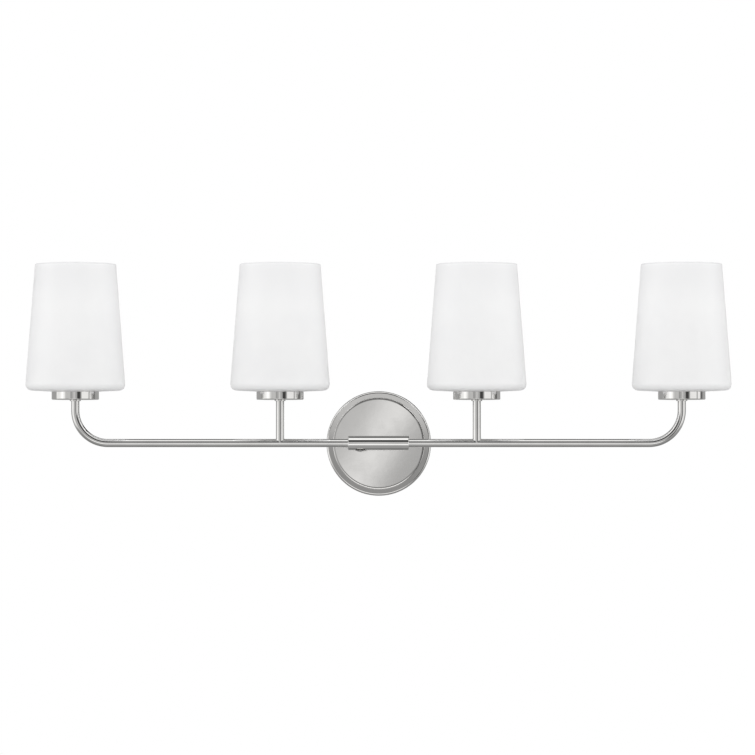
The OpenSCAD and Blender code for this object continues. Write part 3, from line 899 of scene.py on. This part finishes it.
def build_lampholder(n):
    """Porcelain body with an outside thread, a rolled screw shell and a centre contact."""
    at = lamp_axis(n)
    lo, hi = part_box(f"socket_{n}")
    crest = (hi.x - lo.x) / 2
    plain = crest - 1.5 * MM
    root = crest - 0.7 * MM
    shell_lo, shell_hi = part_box(f"screw_shell_{n}")
    shell_r = (shell_hi.x - shell_lo.x) / 2
    bore = shell_r + 0.05 * MM
    deck = shell_lo.z
    t0, t1 = lo.z + 8 * MM, lo.z + 26 * MM
    nut_r, nut_z0, nut_z1 = 11 * MM, lo.z + 5 * MM, lo.z + 11 * MM  # the lock nut's space
    outline = rounded([(FIT_R, lo.z, 0), (plain, lo.z, 0.8 * MM), (plain, t0, 0)])
    outline += [(root, t0)]
    outline += steps_between(root, t0 + 0.3 * MM, t1 - 0.3 * MM, 110)
    outline += [(root, t1), (plain, t1)]
    outline += rounded(
        [
            (plain, t1 + 1 * MM, 0),
            (plain, hi.z, 0.9 * MM),
            (bore, hi.z, 0.7 * MM),
            (bore, deck, 0),
        ]
    )
    outline += [(0, deck), (0, nut_z1), (nut_r, nut_z1), (nut_r, nut_z0), (FIT_R, nut_z0)]
    thread = thread_swell(root, t0, t1, 2.0 * MM, 0.65 * MM)
    turned(
        f"lampholder_body_{n}",
        outline,
        porcelain,
        "fixture",
        f"socket_{n}",
        at=at,
        steps=120,
        swell=thread,
    )

    wall, toe, foot_r = 0.5 * MM, 3 * MM, 7 * MM
    z0, z1 = shell_lo.z, shell_hi.z
    roll0, roll1 = z0 + toe, z1 - 1 * MM
    outer, inner = shell_r, shell_r - wall
    outline = [(foot_r, z0)] + arc(outer - toe, roll0, toe, -90, 0)
    outline += steps_between(outer, roll0, roll1, 90) + [(outer, z1), (inner, z1)]
    outline += steps_between(inner, roll1, roll0, 90)
    outline += arc(outer - toe, roll0, toe - wall, 0, -90) + [(foot_r, z0 + wall)]
    rolled = [thread_swell(r, roll0, roll1, E26_PITCH, -0.75 * MM) for r in (outer, inner)]
    turned(
        f"shell_thread_{n}",
        outline,
        brass,
        "fixture",
        f"screw_shell_{n}",
        at=at,
        swell=lambda r, h, a: sum(face(r, h, a) for face in rolled),
    )

    lo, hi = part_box(f"center_contact_{n}")
    r = (hi.x - lo.x) / 2
    shoulder = 0.5 * MM
    outline = [(0, lo.z), (r, lo.z), (r, lo.z + 0.4 * MM), (r * 0.72, lo.z + shoulder)]
    for i in range(9):
        a = math.pi / 2 * i / 8
        dome = (hi.z - lo.z - shoulder) * math.sin(a)
        outline.append((r * 0.62 * math.cos(a), lo.z + shoulder + dome))
    button = f"contact_button_{n}"
    turned(button, outline, brass, "fixture", f"center_contact_{n}", at=at, steps=48)


def build_connectors():
    """Ribbed wire connectors above and below the arm's nut, behind the plate."""
    lo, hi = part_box("wire_connectors")
    mouth = (hi.x - lo.x) / 2
    y = (lo.y + hi.y) / 2
    length = 20 * MM
    rings = 12
    bm = bmesh.new()
    for turn, tip in ((UPRIGHT, hi.z), (DOWN, -lo.z)):
        z0 = tip - length
        skirt = z0 + 4 * MM
        cone = tip - 2.2 * MM
        outline = [
            (0, z0 + 3 * MM),
            (mouth - 1.3 * MM, z0 + 3 * MM),
            (mouth - 1.1 * MM, z0),
            (mouth, z0 + 0.3 * MM),
            (mouth, skirt),
        ]
        for i in range(rings + 1):
            t = i / rings
            outline.append((mouth - 0.6 * MM - 1.4 * MM * t, skirt + (cone - skirt) * t))
        outline += [(mouth - 2.6 * MM, tip - 0.8 * MM), (mouth - 3.6 * MM, tip), (0, tip)]

        def ribs(r, h, a):
            if r <= 2 * MM or not skirt < h < tip - 2 * MM:
                return 0.0
            return 0.45 * MM * max(0.0, math.cos(10 * a))

        lathe(bm, outline, (0, y, 0), 120, turn, ribs)
    finish_mesh("connector_caps", bm, orange_plastic, "fixture", "wire_connectors")


# ---- camera, light and floor ----


def build_camera():
    """Long lens just below the bar, a little to the right, aimed at the object's middle."""
    distance = 4.03
    data = bpy.data.cameras.new("camera")
    data.lens = 157.5
    data.sensor_width = 36
    data.clip_end = 50
    camera = bpy.data.objects.new("camera", data)
    bpy.context.scene.collection.objects.link(camera)
    camera.location = (0.020, BAR_Y - distance, -0.020)
    target = Vector((-0.0011, BAR_Y, 0.0800))
    camera.rotation_mode = "QUATERNION"
    camera.rotation_quaternion = (target - camera.location).to_track_quat("-Z", "Y")
    bpy.context.scene.camera = camera


def build_floor():
    """A round pale floor under the fixture, clear from below and left out of mirror images."""
    material, g, s = principled("floor_paint")
    cloud = g.remap(g.noise(3, 4), 0.3, 0.7, 0, 1)
    g.feed(s.inputs["Base Color"], g.mix(cloud, (0.86, 0.86, 0.86), (0.83, 0.83, 0.83)))
    g.feed(s.inputs["Roughness"], g.remap(g.noise(9, 3), 0.3, 0.7, 0.5, 0.62))
    g.feed(s.inputs["Normal"], g.bump(g.noise(260, 3), 0.06, 0.0004))
    back = g.tree.nodes.new("ShaderNodeNewGeometry").outputs["Backfacing"]
    clear = g.tree.nodes.new("ShaderNodeBsdfTransparent")
    out = next(node for node in g.tree.nodes if node.bl_idname == "ShaderNodeOutputMaterial")
    g.feed(out.inputs["Surface"], g.blend(back, s.outputs["BSDF"], clear.outputs[0]))
    bm = bmesh.new()
    inner, width, spans, steps = 0.05, 2.55, 24, 96
    rings = []
    for i in range(spans + 1):
        r = inner + width * i / spans
        turns = [2 * math.pi * k / steps for k in range(steps)]
        rings.append([bm.verts.new((r * math.cos(a), r * math.sin(a), 0)) for a in turns])
    for one, two in zip(rings, rings[1:]):
        for k in range(steps):
            j = (k + 1) % steps
            bm.faces.new([one[k], two[k], two[j], one[j]])
    bm.faces.new(rings[0])
    mesh = bpy.data.meshes.new("floor")
    bm.to_mesh(mesh)
    bm.free()
    mesh.shade_smooth()
    mesh.materials.append(material)
    floor = bpy.data.objects.new("floor", mesh)
    floor.location = (0, BAR_Y, -0.95)
    bpy.context.scene.collection.objects.link(floor)
    floor.visible_glossy = False
    floor.visible_diffuse = False


def build_world():
    """White to the camera, a plain dome to matt surfaces, a studio of panels to polished ones."""
    world = bpy.data.worlds.new("studio")
    bpy.context.scene.world = world
    world.use_nodes = True
    world.cycles.sampling_method = "NONE"
    g = Graph(world.node_tree)
    where = g.tree.nodes.new("ShaderNodeTexCoord")
    x, y, z = g.split(where.outputs["Generated"])
    front = g.math("MULTIPLY", y, -1.0)
    per_radian = 180 / math.pi
    # angles of a direction: round to the right from the front, its elevation, from the front over
    # the top, and as on a clock face seen from the front, from the right over the top
    around = g.math("MULTIPLY", g.math("ARCTAN2", x, front), per_radian)
    up = g.math("MULTIPLY", g.math("ARCSINE", z), per_radian)
    over = g.math("MULTIPLY", g.math("ARCTAN2", z, front), per_radian)
    clock = g.math("MULTIPLY", g.math("ARCTAN2", z, x), per_radian)

    def band(value, start, end, soft):
        """1 between start and end and 0 outside, over soft edges."""
        rise = g.remap(value, start - soft, start + soft, 0, 1)
        fall = g.remap(value, end - soft, end + soft, 1, 0)
        return g.math("MULTIPLY", rise, fall)

    def both(one, two):
        return g.math("MULTIPLY", one, two)

    def panel(level, mask, tone):
        """Puts a tone over the level where the mask is."""
        under = g.math("MULTIPLY", level, g.math("SUBTRACT", 1.0, mask))
        return g.math("ADD", under, g.math("MULTIPLY", mask, tone))

    # a grey room, lighter at eye height
    level = g.math("ADD", 0.22, g.math("MULTIPLY", band(up, -34, 34, 22), 0.17))

    # upright panels round the sides, which the cups and the stems mirror
    waist = band(up, -22, 46, 8)
    for start, end, soft, tone in (
        (-99, -46, 5, 0.92),
        (-77, -47, 4, 1.02),
        (-67, -56, 4, 1.25),
        (-46, -38, 3, 0.66),
        (-38, -18, 4, 0.58),
        (35, 73, 5, 0.94),
        (80, 97, 3, 0.95),
        (101, 116, 4, 0.13),
    ):
        level = panel(level, both(band(around, start, end, soft), waist), tone)
    level = panel(level, both(band(around, -17, 34, 3), band(up, -8, 52, 5)), 0.27)
    level = panel(level, both(band(around, 9, 29, 2), band(up, -45, 52, 5)), 0.06)

    # panels above and below the front, which the bar and the sleeve mirror
    level = panel(level, both(band(over, 12, 49, 4), band(around, -60, 60, 12)), 0.08)
    level = panel(level, both(band(over, -92, -37, 5), band(around, -70, 70, 12)), 0.36)
    level = panel(level, both(band(over, -34, -18, 4), band(around, -28, 20, 5)), 1.25)
    level = panel(level, band(over, 53, 85, 3), 1.2)

    # a dark card behind, up on the right: a thin line on the plate's round edge
    level = panel(level, both(band(clock, 36, 62, 3), g.remap(front, 0.25, 0.0, 0, 1)), 0.03)

    # what the wall plate mirrors, straight out into the room: its ledge a ring of greys, its edge
    # a smaller ring lit from below, and its face a slanted soft band
    side = g.math("ADD", around, 0.3)
    rise = g.math("SUBTRACT", up, 0.3)
    ring = g.math("SQRT", g.math("ADD", g.math("POWER", side, 2.0), g.math("POWER", rise, 2.0)))
    slant = g.math("SUBTRACT", g.math("MULTIPLY", side, 0.866), g.math("MULTIPLY", rise, 0.5))
    left = g.remap(slant, -1.7, 0.0, 0.56, 0.84)
    face = panel(left, g.remap(slant, 0.0, 1.8, 0, 1), 0.46)
    level = panel(level, band(ring, -20, 14.8, 1.0), g.remap(rise, -4, 9, 0.31, 0.60))
    level = panel(level, band(ring, -20, 8.5, 1.0), g.remap(rise, -3.5, -1.5, 1.05, 0.50))
    level = panel(level, band(ring, -20, 4, 1.0), face)

    studio = g.background(level, (1.0, 0.996, 0.988))
    dome = g.background(g.remap(z, -0.9, 0.5, 0.94, 1.55))
    white = g.background(1.0, (1, 1, 1))
    path = g.tree.nodes.new("ShaderNodeLightPath").outputs
    seen = g.blend(path["Is Diffuse Ray"], studio, dome)
    out = g.tree.nodes.new("ShaderNodeOutputWorld")
    g.feed(out.inputs["Surface"], g.blend(path["Is Camera Ray"], seen, white))


build_camera()
build_floor()
build_world()
bpy.context.scene.view_settings.view_transform = "Standard"
build_plate()
build_sleeve()
build_set_screw()
build_bars()
build_stems()
build_arm()
build_plate_screws()
build_collars()
build_connectors()
for lamp in LAMPS:
    build_cup(lamp)
    build_shade(lamp)
    build_gasket(lamp)
    build_ring(lamp)
    build_lampholder(lamp)

for part in frame["record"]["subparts"]:
    node = frame["nodes"][part["node"]]
    for material_slot in node.material_slots:
        material_slot.material = SLOT_MATERIALS[part["material_slot"]]
